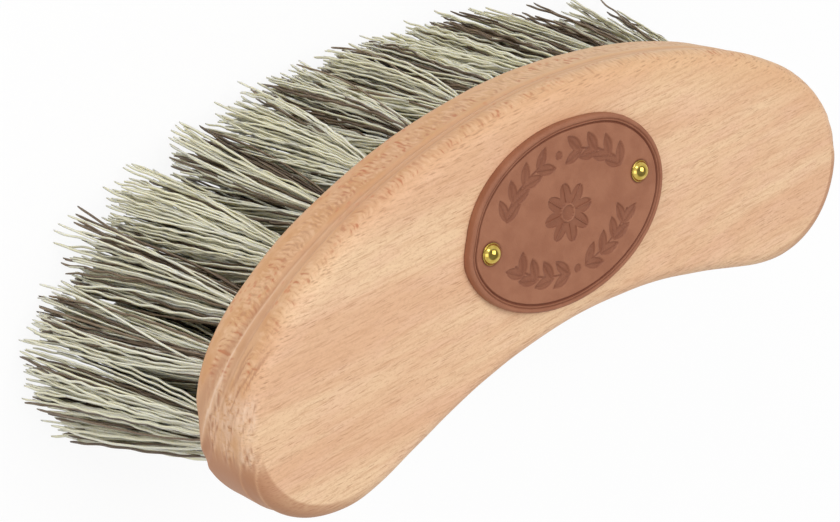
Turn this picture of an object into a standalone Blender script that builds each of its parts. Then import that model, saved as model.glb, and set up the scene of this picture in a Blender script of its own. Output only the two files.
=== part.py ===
"""Banana brush: a bowed beech block with leaning tufts of stiff fibre below and a nailed leather badge on its back.

The block's back faces +Z, its long side lies along X and its convex edge faces +Y.
The brush stands on its trimmed bristle tips at z = 0. All lengths are in metres.
"""

import math

import bmesh
import bpy
import numpy as np
from mathutils import Vector

# Driving dimensions
half_length = 0.100  # half of the block's length
half_width = 0.0304  # half of the block's width at its middle
block_thickness = 0.0232
bristle_reach = 0.062  # from the block's bristle face down to the longest tips

# Clearances between neighbouring pieces
fit_gap = 0.0003
cut_overrun = 0.001

# Block
edge_round = 0.0045
groove_width = 0.0044
groove_depth = 0.0009
groove_rise_share = 0.67  # the finger groove's middle, up the block's thickness
hole_floor = 0.012  # wood left above each tuft hole
outline_steps = 10
# Each row: x of half_length, y of half_width, the edge's turn, handle before and after of half_length
crest_shares = (0.0, 1.0, 0.0, 0.255, 0.255)
shoulder_shares = (0.785, 0.33, 33.0, 0.245, 0.06)
end_shares = (1.0, -0.74, 90.0, 0.20, 0.08)
lobe_shares = (0.745, -1.497, 180.0, 0.18, 0.145)
belly_shares = (0.0, -1.0, 180.0, 0.39, 0.39)

# Tufts
tuft_radius = 0.0034
edge_margin = 0.008  # from the block's edge to the middle of the nearest tufts
tuft_stand = 0.0004  # how far a packed tuft's foot shows below the face
# Each row, from the convex edge to the concave edge: tufts, and its end as x of half_length and y of half_width
row_counts = (14, 15, 14, 13)
row_end_shares = ((0.865, -0.30), (0.92, -0.72), (0.85, -1.03), (0.76, -1.18))
strands_per_tuft = 8
end_flare = 0.019  # lean of the tips along X, at x = half_length
end_dip = 0.004  # lean of the tips towards -Y, at x = half_length
side_flare = 0.0055  # outward lean of the tips across the rows, for a row at half_width
tip_spread = 0.0046  # radius of a tuft's outer tips round its middle
inner_spread_share = 0.52  # of tip_spread, for every second strand
tip_wander = 0.0004
ragged_depth = 0.007  # how far the shortest tips stop above the longest
trim_depth = 0.0005
bend_share = 0.5  # how far down a strand its bend lies
bend_lean_share = 0.42  # how much of its lean a strand has at the bend
bend_size_share = 0.58  # a strand's size there, of its root
tip_size_share = 0.42
golden_share = 0.618034

# Badge
badge_half_length = 0.0323
badge_half_width = 0.0233
badge_thickness = 0.002
badge_drop = 0.0005  # its middle, below the middle of the block's width
badge_rim = 0.0028
badge_line = 0.0007
badge_line_slope = 0.0003
badge_line_depth = 0.0004
badge_edge_round = 0.0005
badge_steps = 48

# Nails
nail_head_radius = 0.0028
nail_head_rim = 0.0003  # the brim's thickness
nail_dome_radius = 0.0023
nail_dome_rise = 0.0015  # above the brim
nail_shank_radius = 0.0008
nail_point = 0.0015
nail_cover = 0.0025  # wood between a nail's hole and the depth of the tuft holes
nail_inset_left = 0.0072  # from the badge's end to the nail
nail_inset_right = 0.0078
nail_rise_left = -0.0003  # off the badge's long axis, towards +Y
nail_rise_right = 0.0012
nail_steps = 20
dome_steps = 5

# Derived heights
face_z = bristle_reach
back_z = face_z + block_thickness
badge_z = back_z + fit_gap
head_z = badge_z + badge_thickness + fit_gap
hole_radius = tuft_radius + fit_gap
hole_top_z = back_z - hole_floor
foot_top_z = hole_top_z - fit_gap
foot_end_z = face_z - tuft_stand
nail_hole_z = hole_top_z + nail_cover
nail_end_z = nail_hole_z + fit_gap


def clear_scene():
    for old in list(bpy.data.objects):
        bpy.data.objects.remove(old, do_unlink=True)


def new_collection(name):
    collection = bpy.data.collections.new(name)
    bpy.context.scene.collection.children.link(collection)
    return collection


def new_material(name, colour, roughness, metallic=0.0):
    material = bpy.data.materials.new(name)
    material.use_nodes = True
    shader = material.node_tree.nodes["Principled BSDF"]
    shader.inputs["Base Color"].default_value = (*colour, 1.0)
    shader.inputs["Roughness"].default_value = roughness
    shader.inputs["Metallic"].default_value = metallic
    return material


def place(obj, collection, parent, material=None):
    """Links an object, hangs it under the brush's root and gives it its material."""
    collection.objects.link(obj)
    obj.parent = parent
    if material:
        obj.data.materials.append(material)
    return obj


def mesh_object(name, bm):
    """A closed, smooth-shaded object from a bmesh, with its faces pointing out."""
    bmesh.ops.recalc_face_normals(bm, faces=bm.faces)
    mesh = bpy.data.meshes.new(name)
    bm.to_mesh(mesh)
    bm.free()
    mesh.shade_smooth()
    mesh.set_sharp_from_angle(angle=math.radians(40))
    return bpy.data.objects.new(name, mesh)


def as_cutter(obj):
    obj.hide_render = True
    obj.display_type = "WIRE"
    return obj


def cut(obj, cutter):
    boolean = obj.modifiers.new(cutter.name, "BOOLEAN")
    boolean.operation = "DIFFERENCE"
    boolean.solver = "EXACT"
    boolean.object = cutter


# Outline of the block


def outline_anchors():
    """The outline's Bezier anchors, clockwise from the crest: point, direction, handle before, handle after."""
    right = []
    for x_share, y_share, turn, before, after in (
        crest_shares,
        shoulder_shares,
        end_shares,
        lobe_shares,
        belly_shares,
    ):
        point = Vector((x_share * half_length, y_share * half_width))
        heading = -math.radians(turn)
        direction = Vector((math.cos(heading), math.sin(heading)))
        right.append((point, direction, before * half_length, after * half_length))
    left = [
        (Vector((-point.x, point.y)), Vector((way.x, -way.y)), after, before)
        for point, way, before, after in right[-2:0:-1]
    ]
    return right + left


def turn_between(before, after):
    """The clockwise angle from one direction to the next."""
    return math.atan2(before.y * after.x - before.x * after.y, before.dot(after))


def outline_curve(name, grow):
    """The block's outline as a closed Bezier curve, moved outwards by grow."""
    anchors = outline_anchors()
    data = bpy.data.curves.new(name, "CURVE")
    data.resolution_u = outline_steps
    spline = data.splines.new("BEZIER")
    spline.bezier_points.add(len(anchors) - 1)
    spline.use_cyclic_u = True
    for i, (point, way, before, after) in enumerate(anchors):
        outward = Vector((-way.y, way.x))
        turned_before = turn_between(anchors[i - 1][1], way)
        turned_after = turn_between(way, anchors[(i + 1) % len(anchors)][1])
        moved = point + outward * grow
        bezier = spline.bezier_points[i]
        bezier.handle_left_type = bezier.handle_right_type = "FREE"
        bezier.co = (*moved, 0)
        bezier.handle_left = (*(moved - way * (before + grow * turned_before / 3)), 0)
        bezier.handle_right = (*(moved + way * (after + grow * turned_after / 3)), 0)
    return bpy.data.objects.new(name, data)


def curve_to_mesh_object(curve):
    """Turns a curve object into a mesh object of the same name, with its caps welded on."""
    bpy.context.scene.collection.objects.link(curve)
    graph = bpy.context.evaluated_depsgraph_get()
    mesh = bpy.data.meshes.new_from_object(curve.evaluated_get(graph))
    name, matrix = curve.name, curve.matrix_world.copy()
    bpy.data.objects.remove(curve, do_unlink=True)
    bm = bmesh.new()
    bm.from_mesh(mesh)
    bpy.data.meshes.remove(mesh)
    bmesh.ops.remove_doubles(bm, verts=bm.verts, dist=fit_gap / 10)
    solid = mesh_object(name, bm)
    solid.matrix_world = matrix
    return solid


# Wooden block


def merge_caps(mesh):
    """Joins the triangles of the block's two flat faces into one face each, so that a Bevel runs clean."""
    bm = bmesh.new()
    bm.from_mesh(mesh)
    bm.normal_update()
    for side in (1, -1):
        flat = [face for face in bm.faces if face.normal.z * side > 0.9]
        bmesh.ops.dissolve_faces(bm, faces=flat)
    bm.to_mesh(mesh)
    bm.free()


def make_block():
    curve = outline_curve("brush_back", 0)
    curve.data.dimensions = "2D"
    curve.data.fill_mode = "BOTH"
    curve.data.extrude = block_thickness / 2
    block = curve_to_mesh_object(curve)
    merge_caps(block.data)
    block.location.z = (face_z + back_z) / 2
    rounding = block.modifiers.new("rounded edges", "BEVEL")
    rounding.width = edge_round
    rounding.segments = 3
    rounding.limit_method = "ANGLE"
    rounding.angle_limit = math.radians(60)
    rounding.use_clamp_overlap = False
    return block


def make_groove_cutter():
    """A round rail whose inner side scoops the finger groove out of the block's edge."""
    radius = ((groove_width / 2) ** 2 + groove_depth**2) / (2 * groove_depth)
    rail = outline_curve("groove_cutter", radius - groove_depth)
    rail.data.dimensions = "3D"
    rail.data.bevel_depth = radius
    rail.data.bevel_resolution = 4
    cutter = curve_to_mesh_object(rail)
    cutter.location.z = face_z + groove_rise_share * block_thickness
    return as_cutter(cutter)


# Tufts


def row_places(count, middle_y, end_x, end_y):
    """Evenly spaced points along one row: a parabola through its middle and its two ends."""
    xs = np.linspace(-end_x, end_x, 400)
    ys = middle_y + (end_y - middle_y) * (xs / end_x) ** 2
    travelled = np.concatenate([[0.0], np.cumsum(np.hypot(np.diff(xs), np.diff(ys)))])
    stops = np.linspace(0.0, travelled[-1], count)
    return zip(np.interp(stops, travelled, xs), np.interp(stops, travelled, ys))


def tuft_places():
    """(row, number in the row, root point on the face, lean of the tips) of every tuft."""
    places = []
    outer = half_width - edge_margin
    for row, (count, (x_share, y_share)) in enumerate(zip(row_counts, row_end_shares)):
        middle_y = outer - 2 * outer * row / (len(row_counts) - 1)
        spots = row_places(count, middle_y, x_share * half_length, y_share * half_width)
        for number, (x, y) in enumerate(spots):
            out_share = x / half_length
            lean_x = end_flare * out_share * abs(out_share)
            lean_y = side_flare * middle_y / half_width - end_dip * out_share**2
            root = Vector((x, y, face_z))
            places.append((row + 1, number + 1, root, Vector((lean_x, lean_y, 0))))
    return places


def leaning_post(bm, root, lean, radius, top_z, bottom_z):
    """Adds an eight-sided post with level ends that leans through root as its tuft does."""
    made = bmesh.ops.create_cone(
        bm,
        cap_ends=True,
        segments=strands_per_tuft,
        radius1=radius,
        radius2=radius,
        depth=top_z - bottom_z,
    )
    middle = Vector((root.x, root.y, (top_z + bottom_z) / 2))
    bmesh.ops.translate(bm, verts=made["verts"], vec=middle)
    for vert in made["verts"]:
        down_share = (root.z - vert.co.z) / bristle_reach
        vert.co += lean * down_share
    return made["verts"]


def tip_height(number, strand):
    """A strand's ragged end above the ground. Each tuft's first strand is a longest one, trimmed flat there."""
    wander = (number * strands_per_tuft + strand) * golden_share % 1
    ragged = ragged_depth * wander if strand else 0.0
    return max(0.0, ragged - trim_depth)


def draw_out(face, middle, size_share):
    """Shrinks a strand's end face and sets it level round a new middle."""
    centre = face.calc_center_median()
    for vert in face.verts:
        across = (vert.co - centre) * size_share
        vert.co = middle + Vector((across.x, across.y, 0))


def make_tuft(name, order, root, lean):
    """A packed foot for the hole in the block, its end drawn out into separate leaning strands."""
    bm = bmesh.new()
    leaning_post(bm, root, lean, tuft_radius, foot_top_z, foot_end_z)
    bm.normal_update()
    end = min(bm.faces, key=lambda face: face.calc_center_median().z)
    wedges = bmesh.ops.poke(bm, faces=[end])["faces"]
    foot_end = Vector((root.x, root.y, foot_end_z))
    wedges.sort(key=lambda face: math.atan2(*(face.calc_center_median() - foot_end).xy))
    strands = bmesh.ops.extrude_discrete_faces(bm, faces=wedges)["faces"]
    tips = []
    for strand, face in enumerate(strands):
        start = face.calc_center_median()
        way = (start - foot_end).normalized()
        spread = tip_spread * (inner_spread_share if strand % 2 else 1)
        spread += tip_wander * math.sin(order * 3 + strand * 2)
        tip = foot_end + lean + way * spread
        tip.z = tip_height(order, strand)
        bend = start.lerp(tip, bend_lean_share)
        bend.z = foot_end_z + (tip.z - foot_end_z) * bend_share
        draw_out(face, bend, bend_size_share)
        tips.append((face, tip))
    drawn = bmesh.ops.extrude_discrete_faces(bm, faces=[face for face, _ in tips])["faces"]
    for face, (_, tip) in zip(drawn, tips):
        draw_out(face, tip, tip_size_share / bend_size_share)
    return mesh_object(name, bm)


def make_tuft_hole_cutter():
    """Every blind hole in one pattern, each leaning as its tuft does."""
    bm = bmesh.new()
    for _, _, root, lean in tuft_places():
        leaning_post(bm, root, lean, hole_radius, hole_top_z, face_z - cut_overrun)
    return as_cutter(mesh_object("tuft_hole_cutter", bm))


# Leather badge


def make_badge():
    """An oval of thick leather with a pressed line inside its rim."""
    bm = bmesh.new()
    bmesh.ops.create_cone(
        bm, cap_ends=True, segments=badge_steps, radius1=1, radius2=1, depth=1
    )
    bmesh.ops.scale(
        bm, vec=(badge_half_length, badge_half_width, badge_thickness), verts=bm.verts
    )
    bm.normal_update()
    top = max(bm.faces, key=lambda face: face.calc_center_median().z)
    for thickness, depth in (
        (badge_rim, 0),
        (badge_line_slope, -badge_line_depth),
        (badge_line, 0),
        (badge_line_slope, badge_line_depth),
    ):
        bmesh.ops.inset_region(bm, faces=[top], thickness=thickness, depth=depth, use_even_offset=True)
    badge = mesh_object("leather_badge", bm)
    badge.location = (0, -badge_drop, badge_z + badge_thickness / 2)
    rounding = badge.modifiers.new("rounded edges", "BEVEL")
    rounding.width = badge_edge_round
    rounding.segments = 2
    rounding.limit_method = "ANGLE"
    rounding.angle_limit = math.radians(60)
    return badge


# Nails


def nail_places():
    """Where the left and the right nail stand on the badge."""
    left = Vector((nail_inset_left - badge_half_length, nail_rise_left - badge_drop))
    right = Vector((badge_half_length - nail_inset_right, nail_rise_right - badge_drop))
    return left, right


def make_nail(name, spot):
    """A nail with a domed head on a narrow brim, turned from its profile, from the top of the dome to the point."""
    brim_z = head_z + nail_head_rim
    dome = [
        (
            nail_dome_radius * math.sin(math.pi / 2 * step / dome_steps),
            brim_z + nail_dome_rise * math.cos(math.pi / 2 * step / dome_steps),
        )
        for step in range(dome_steps + 1)
    ]
    shank = [
        (nail_head_radius, brim_z),
        (nail_head_radius, head_z),
        (nail_shank_radius, head_z),
        (nail_shank_radius, nail_end_z + nail_point),
        (0.0, nail_end_z),
    ]
    profile = [(radius, 0.0, z) for radius, z in dome + shank]
    mesh = bpy.data.meshes.new(name)
    mesh.from_pydata(profile, [(i, i + 1) for i in range(len(profile) - 1)], [])
    nail = bpy.data.objects.new(name, mesh)
    nail.location.xy = spot
    screw = nail.modifiers.new("turned", "SCREW")
    screw.steps = screw.render_steps = nail_steps
    screw.use_merge_vertices = True
    screw.merge_threshold = 0.00001
    return nail


def make_nail_hole_cutter():
    """Both nail holes, through the badge and into the wood."""
    bm = bmesh.new()
    top = head_z + cut_overrun
    for spot in nail_places():
        made = bmesh.ops.create_cone(
            bm,
            cap_ends=True,
            segments=nail_steps,
            radius1=nail_shank_radius + fit_gap,
            radius2=nail_shank_radius + fit_gap,
            depth=top - nail_hole_z,
        )
        middle = Vector((*spot, (top + nail_hole_z) / 2))
        bmesh.ops.translate(bm, verts=made["verts"], vec=middle)
    return as_cutter(mesh_object("nail_hole_cutter", bm))


# Assembly


def centre_over_origin(root, collection):
    """Moves the whole brush so that the middle of its bounding box stands over the origin."""
    bpy.context.view_layer.update()
    graph = bpy.context.evaluated_depsgraph_get()
    corners = []
    for obj in collection.objects:
        if obj.type == "MESH":
            solid = obj.evaluated_get(graph)
            corners += [solid.matrix_world @ Vector(corner) for corner in solid.bound_box]
    for axis in (0, 1):
        reach = [corner[axis] for corner in corners]
        root.location[axis] = -(min(reach) + max(reach)) / 2


def main():
    clear_scene()
    brush = new_collection("banana_brush")
    cutters = new_collection("cutters")
    root = place(bpy.data.objects.new("brush_root", None), brush, None)

    beech = new_material("beech", (0.78, 0.50, 0.31), 0.55)
    leather = new_material("brown_leather", (0.36, 0.147, 0.095), 0.6)
    brass = new_material("brass", (0.68, 0.55, 0.18), 0.25, metallic=1.0)
    fibres = (
        new_material("cream_fibre", (0.83, 0.80, 0.61), 0.6),
        new_material("dark_fibre", (0.07, 0.048, 0.038), 0.6),
    )

    groove = place(make_groove_cutter(), cutters, root)
    tuft_holes = place(make_tuft_hole_cutter(), cutters, root)
    nail_holes = place(make_nail_hole_cutter(), cutters, root)

    block = place(make_block(), brush, root, beech)
    for cutter in (groove, tuft_holes, nail_holes):
        cut(block, cutter)

    badge = place(make_badge(), brush, root, leather)
    cut(badge, nail_holes)

    for name, spot in zip(("nail_left", "nail_right"), nail_places()):
        place(make_nail(name, spot), brush, root, brass)

    for order, (row, number, tuft_root, lean) in enumerate(tuft_places()):
        tuft = make_tuft(f"tuft_row{row}_{number:02d}", order, tuft_root, lean)
        place(tuft, brush, root, fibres[(row + number) % 2])

    centre_over_origin(root, brush)


main()
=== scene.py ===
"""The looks of the banana brush: a bowed beech block, crimped tufts, a leather badge and two brass nails.

Lengths are in metres. The block's back faces +Z, its convex edge faces +Y and it stands on its bristle
tips at z = 0.
"""

import math

import bpy
import numpy as np
from mathutils import Matrix, Vector


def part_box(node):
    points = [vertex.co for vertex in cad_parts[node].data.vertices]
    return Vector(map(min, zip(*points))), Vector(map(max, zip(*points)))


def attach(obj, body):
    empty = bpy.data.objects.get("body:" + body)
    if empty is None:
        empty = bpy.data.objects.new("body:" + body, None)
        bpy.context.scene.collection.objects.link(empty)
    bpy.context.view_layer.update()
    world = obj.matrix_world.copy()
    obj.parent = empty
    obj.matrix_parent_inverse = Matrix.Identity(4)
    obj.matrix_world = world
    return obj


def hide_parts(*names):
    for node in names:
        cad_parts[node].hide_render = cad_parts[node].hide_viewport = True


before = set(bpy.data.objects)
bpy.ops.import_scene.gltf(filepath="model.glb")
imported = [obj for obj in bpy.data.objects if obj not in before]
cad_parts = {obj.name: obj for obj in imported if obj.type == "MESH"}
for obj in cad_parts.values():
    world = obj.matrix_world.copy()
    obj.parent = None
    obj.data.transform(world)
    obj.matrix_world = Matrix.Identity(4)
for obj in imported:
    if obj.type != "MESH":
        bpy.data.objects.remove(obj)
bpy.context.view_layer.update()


# The block is one piece of steamed beech, sawn to a banana shape, with its edges rounded over and a finger
# groove routed round its side. The cutter has left chatter there and has torn the end grain into thin pale
# layers. The flat back is sanded, and the tufts stand in holes in the lower face.

block_low, block_high = (np.array(corner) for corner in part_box("brush_back"))
half_length = (block_high[0] - block_low[0]) / 2
half_width = 0.0304
thickness = block_high[2] - block_low[2]
block_origin = np.array([(block_high[0] + block_low[0]) / 2, block_high[1] - half_width, block_low[2]])
edge_round = 0.0045
groove_width = 0.0044
groove_depth = 0.0008
groove_rise_share = 0.67
groove_lines = (
    # below the groove's level, how far it sinks at the tips, and how soon it comes back
    (-0.0019, 0.0090, 0.0138),
    (0.0002, 0.0125, 0.0195),
    (0.0020, 0.0240, 0.0165),
)
groove_start = (-0.014, -0.004)  # the two passes begin here, just beyond the tip
groove_fan = (0.070, 0.010)  # the painted highlight on their crest and the painted shade on their walls show more from here on, towards the tip
pass_shares = (0.35, 0.5, 0.45)  # of groove_depth: across both passes, in the upper one and in the lower one
groove_line_width = 0.0004
shade_line_drop = 0.0002  # below the upper line: a painted shade line
# a painted highlight line lies this far below the upper line
highlight_line_drop = 0.0014
groove_climb = 0.0062  # how far the concave side's groove has risen at the tip
climb_reach = 0.012
climb_start = (0.012, -0.008)
# where the painted highlight on the climbing groove's lips ends
climb_highlight_end = (-0.050, -0.012)
climb_share = 0.3  # of groove_depth
climb_lip_share = 0.16  # of half the groove's width: how wide the painted highlight on its lips is
crest_highlight = (0.3, 0.6)  # painted highlight on the crest: a share along the side, and what is added to it near the tip
# painted shade on the passes' walls: a share along the side, and what is added to it near the tip
groove_wall_shade = (-0.2, -0.3)
# painted highlight and painted shade lines near the tip
line_highlight_and_shade = 0.3
# painted highlight on the climbing groove's lips
lip_highlight = 0.5
bulge_share = 0.7  # of groove_depth: how far the wall stands out round the tip, on the concave side
outline_shares = np.array(
    [
        # x of half_length, y of half_width, the edge's turn, handle before and after of half_length
        [0.0, 1.0, 0.0, 0.255, 0.255],
        [0.785, 0.33, 33.0, 0.245, 0.06],
        [1.0, -0.74, 90.0, 0.20, 0.08],
        [0.745, -1.497, 180.0, 0.18, 0.145],
        [0.0, -1.0, 180.0, 0.39, 0.39],
    ]
)
outline_count = 900
profile_count = 84
face_steps = 16
tear_depth = 0.00022
tear_gap_size = 0.006
tear_rough_size = 0.0022
tear_tone_size = 0.0016
tear_tone = 0.4
tear_right_share = 0.6  # of the left end's tearing
streak_depth = 0.00012
streak_tone = 0.75
streak_size = 0.0026
streak_slope = 0.27
hand_depth = 0.00006
hand_size = 0.03
fade_drop = 0.004
# Each patch of the side: where it begins and ends along the way, then where it begins and ends down the
# side. A span runs from the place where nothing shows to the place where all of it does.
torn_patch = ((-0.003, 0.005), (0.024, 0.012), (0.0005, 0.003), (0.021, 0.017))
streak_patch = ((0.004, 0.014), (0.045, 0.020), (0.001, 0.004), (0.013, 0.007))
bulge_patch = ((0.004, -0.006), (-0.045, -0.015), (0.004, 0.010))
# Painted shade darkens the concave side's edge and wall round the tip.
shaded_edge_patch = ((0.010, -0.006), (-0.060, -0.020), (0.0, 0.0006))
shaded_edge_tone = 0.65
shaded_wall_patch = ((0.006, -0.004), (-0.060, -0.030), (0.001, 0.005))
shaded_wall_tone = 0.3
chatter_pitch = 0.0013
chatter_bow = 0.0011  # how far a mark bends along the side at its band's edge
chatter_jitter = 0.004
chatter_start = (0.012, 0.024)  # from the tips
side_drop = (0.0012, 0.0085)  # the routed side's warmer tone sets in
pulled_start = (0.0, 0.0012)  # fibres are pulled out along the back's edge
pulled_end = (0.0055, 0.0035)
grain_depth = 0.00005
frayed_depth = 0.0004
chatter_depth = 0.0003
chatter_bands = (
    # how far down the side a band of marks lies, and its reach: above the groove and on the lip below it
    (0.0058, 0.0026),
    (0.0165, 0.0042),
)
bow_radius = 0.161  # of the back's convex edge
bow_band = 0.013  # how far inwards from there the back's right part gets painted shade
right_span = np.array([-0.06, 0.05])  # from the block's middle: where its right part begins, with painted shade on the back's edge and a painted sheen on the side


def block_outline(shares, count):
    """The block's outline, clockwise from its left end: points, outward normals and the distance run.

    Each stretch between two anchors is a cubic Bezier, (1-t)^3 a + 3(1-t)^2 t b + 3(1-t) t^2 c + t^3 d,
    and the left half mirrors the right one. Half of the points lie evenly along the convex side, and half
    along the concave side.
    """
    mirrored = shares[-2:0:-1] * [-1, 1, -1, 1, 1]
    mirrored[:, [3, 4]] = mirrored[:, [4, 3]]
    rows = np.vstack([mirrored[1:], shares, mirrored[:1]])
    points = rows[:, :2] * [half_length, half_width]
    heading = -np.radians(rows[:, 2])
    ways = np.stack([np.cos(heading), np.sin(heading)], axis=1)
    before, after = rows[:, 3:4] * half_length, rows[:, 4:5] * half_length
    ends = np.roll(points, -1, axis=0)[:, None]
    start = points[:, None]
    first = (points + ways * after)[:, None]
    second = ends - np.roll(ways * before, -1, axis=0)[:, None]
    t = np.linspace(0, 1, 200, endpoint=False)[None, :, None]
    curve = (1 - t) ** 3 * start + 3 * (1 - t) ** 2 * t * first + 3 * (1 - t) * t**2 * second + t**3 * ends
    closed = np.vstack([curve.reshape(-1, 2), points[:1]])
    run = np.concatenate([[0.0], np.cumsum(np.hypot(*np.diff(closed, axis=0).T))])
    turning = run[np.argmax(closed[:, 0])]
    upper = np.linspace(0.0, turning, count // 2, endpoint=False)
    lower = np.linspace(turning, run[-1], count // 2, endpoint=False)
    stops = np.concatenate([upper, lower])
    even = np.stack([np.interp(stops, run, closed[:, k]) for k in (0, 1)], axis=1)
    tangent = np.roll(even, -1, axis=0) - np.roll(even, 1, axis=0)
    tangent /= np.linalg.norm(tangent, axis=1, keepdims=True)
    normal = np.stack([-tangent[:, 1], tangent[:, 0]], axis=1)
    return even, normal, np.append(stops, run[-1])


def block_profile(count):
    """The side's profile as (inset, rise), from the back's edge to the lower face, with normals and drop.

    It is a quarter circle (r (1 - sin a), r (1 - cos a)), the plain wall and another quarter circle.
    """
    turn = np.linspace(0, math.pi / 2, 60)
    inset = np.concatenate([edge_round * (1 - np.sin(turn)), edge_round * (1 - np.cos(turn))])
    rise = np.concatenate([thickness - edge_round * (1 - np.cos(turn)), edge_round * (1 - np.sin(turn))])
    travelled = np.concatenate([[0.0], np.cumsum(np.hypot(np.diff(inset), np.diff(rise)))])
    drop = np.linspace(0.0, travelled[-1], count)
    even = np.stack([np.interp(drop, travelled, inset), np.interp(drop, travelled, rise)], axis=1)
    slope = np.gradient(even, axis=0)
    slope /= np.linalg.norm(slope, axis=1, keepdims=True)
    normal = np.stack([slope[:, 1], -slope[:, 0]], axis=1)
    return even, normal, drop


def ripples(points, size, seed, waves=12):
    """Smooth noise between about -1 and 1: a sum of sines, sin(2 pi p.d / pitch + phase).

    The directions d are random. The pitches run from size down to a third of it, and the shorter waves
    are lower.
    """
    rng = np.random.default_rng(seed)
    ways = rng.normal(size=(waves, 3))
    ways /= np.linalg.norm(ways, axis=1, keepdims=True)
    pitch = size / np.linspace(1, 3, waves)
    angle = points @ (ways / pitch[:, None]).T * 2 * math.pi + rng.uniform(0, 2 * math.pi, waves)
    return np.sin(angle) @ (pitch / size) / math.sqrt(waves / 4)


def ramp(value, low, high):
    """0 below low and 1 above high, with the smooth step 3 t^2 - 2 t^3 between. It falls if high is below."""
    t = np.clip((value - low) / (high - low), 0, 1)
    return t * t * (3 - 2 * t)


def grid_faces(rows, columns, wrap):
    """Quads of a grid of points, row after row. With wrap, each row's last point joins its first."""
    across = np.arange(columns if wrap else columns - 1)
    right = (across + 1) % columns
    start = (np.arange(rows - 1) * columns)[:, None]
    corners = (start + across, start + right, start + columns + right, start + columns + across)
    return np.stack(corners, axis=-1).reshape(-1, 4)


def lofted_cap(ring, ring_start, inner_start, steps, turned):
    """Closes a ring: the points of its two halves are paired and joined straight across, p + (q - p) k / n.

    Gives the new inner points and the quads. The ring's points count from ring_start, the new ones from
    inner_start.
    """
    count = len(ring)
    upper = np.arange(count // 2 + 1)
    lower = (count - upper) % count
    share = (np.arange(1, steps) / steps)[None, :, None]
    inner = ring[upper[1:-1], None] * (1 - share) + ring[lower[1:-1], None] * share
    table = np.empty((len(upper), steps + 1), dtype=np.int64)
    table[:] = (ring_start + upper)[:, None]
    table[:, -1] = ring_start + lower
    table[1:-1, 1:-1] = np.arange(inner.shape[0] * inner.shape[1]).reshape(inner.shape[:2]) + inner_start
    quads = np.stack([table[:-1, :-1], table[1:, :-1], table[1:, 1:], table[:-1, 1:]], axis=-1).reshape(-1, 4)
    return inner.reshape(-1, 3), quads if turned else quads[:, ::-1]


def mesh_piece(name, points, quads):
    """Puts points and quads into a new smooth object. A quad with a repeated corner becomes a triangle."""
    mesh = bpy.data.meshes.new(name)
    faces = [[k for n, k in enumerate(quad) if k != quad[n - 1]] for quad in quads.tolist()]
    mesh.from_pydata(points.tolist(), [], [face for face in faces if len(face) > 2])
    mesh.polygons.foreach_set("use_smooth", np.ones(len(mesh.polygons), dtype=bool))
    mesh.update()
    piece = bpy.data.objects.new(name, mesh)
    bpy.context.scene.collection.objects.link(piece)
    return piece


def point_values(piece, name, values):
    """Stores one number for each point of a piece, for its material to read."""
    attribute = piece.data.attributes.new(name, "FLOAT", "POINT")
    attribute.data.foreach_set("value", np.ascontiguousarray(values, dtype=np.float32).ravel())


def patch(way, drop, start, end, top, foot=None):
    """1 inside a patch of the side and 0 outside it, with soft ends. Without a foot it has no lower end."""
    share = ramp(way, *start) * ramp(way, *end) * ramp(drop, *top)
    return share if foot is None else share * ramp(drop, *foot)


def routed_grooves(way, drop):
    """The finger groove: how deep it is at each place of the side, how far inside it lies, and its painted
    light.

    way is the distance from the nearer tip of the block, positive on the convex side. There the groove is
    cut in two passes between three lines at level + a + b exp(-way / c), which fan out towards the tip.
    Each pass is as deep as (4 t (1 - t))^2, with t the share of the way across it, and 4 t (1 - t) across
    both is added. On the concave side the groove is higher by d exp(way / e), and below it the wall
    bulges out. The painted light is above 0 on the crest between the passes, a painted highlight, and
    below 0 on their walls, painted shade. Thin painted lines of shade and highlight run near the tip, and
    the concave side's climbing groove has a painted highlight on its lips.
    """
    level = edge_round * math.pi / 2 + thickness * (1 - groove_rise_share) - edge_round
    upper, crest, lower = (level + below + sink * np.exp(-way / reach) for below, sink, reach in groove_lines)
    there = ramp(way, *groove_start)
    tip = ramp(way, *groove_fan)
    stretches = ((upper, lower), (upper, crest), (crest, lower))
    across = [np.clip((drop - above) / (below - above), 0, 1) for above, below in stretches]
    both, first, second = (4 * t * (1 - t) for t in across)
    depth = there * (pass_shares[0] * both + pass_shares[1] * first**2 + pass_shares[2] * second**2)
    # How far inside the groove a place lies: the material paints this as shade.
    inside = there * ramp(both, 0.0, 0.4)
    # Thin painted lines: shade just below the upper line, a highlight lower down, and a highlight on the
    # crest.
    lines = (upper + shade_line_drop, upper + highlight_line_drop, crest)
    dark, highlight_line, crown = (np.exp(-(((drop - line) / groove_line_width) ** 2)) for line in lines)
    # Painted light: a highlight on the crest, and shade on the passes' walls and along the lines.
    painted_light_and_tone = (crest_highlight[0] + crest_highlight[1] * tip) * crown
    painted_light_and_tone += (groove_wall_shade[0] + groove_wall_shade[1] * tip) * (0.75 * first + second)
    painted_light_and_tone += line_highlight_and_shade * tip * (highlight_line - dark)
    painted_light_and_tone *= there
    climbing = ramp(way, *climb_start)
    off = (drop - level + groove_climb * np.exp(way / climb_reach)) / (groove_width / 2)
    depth = np.maximum(depth, climb_share * climbing * np.clip(1 - off**2, 0, None))
    depth -= bulge_share * patch(way, drop, *bulge_patch)
    lip_highlights = np.exp(-(((np.abs(off) - 1) / climb_lip_share) ** 2))
    painted_light_and_tone += lip_highlight * climbing * ramp(way, *climb_highlight_end) * lip_highlights
    return depth, inside, painted_light_and_tone


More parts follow.
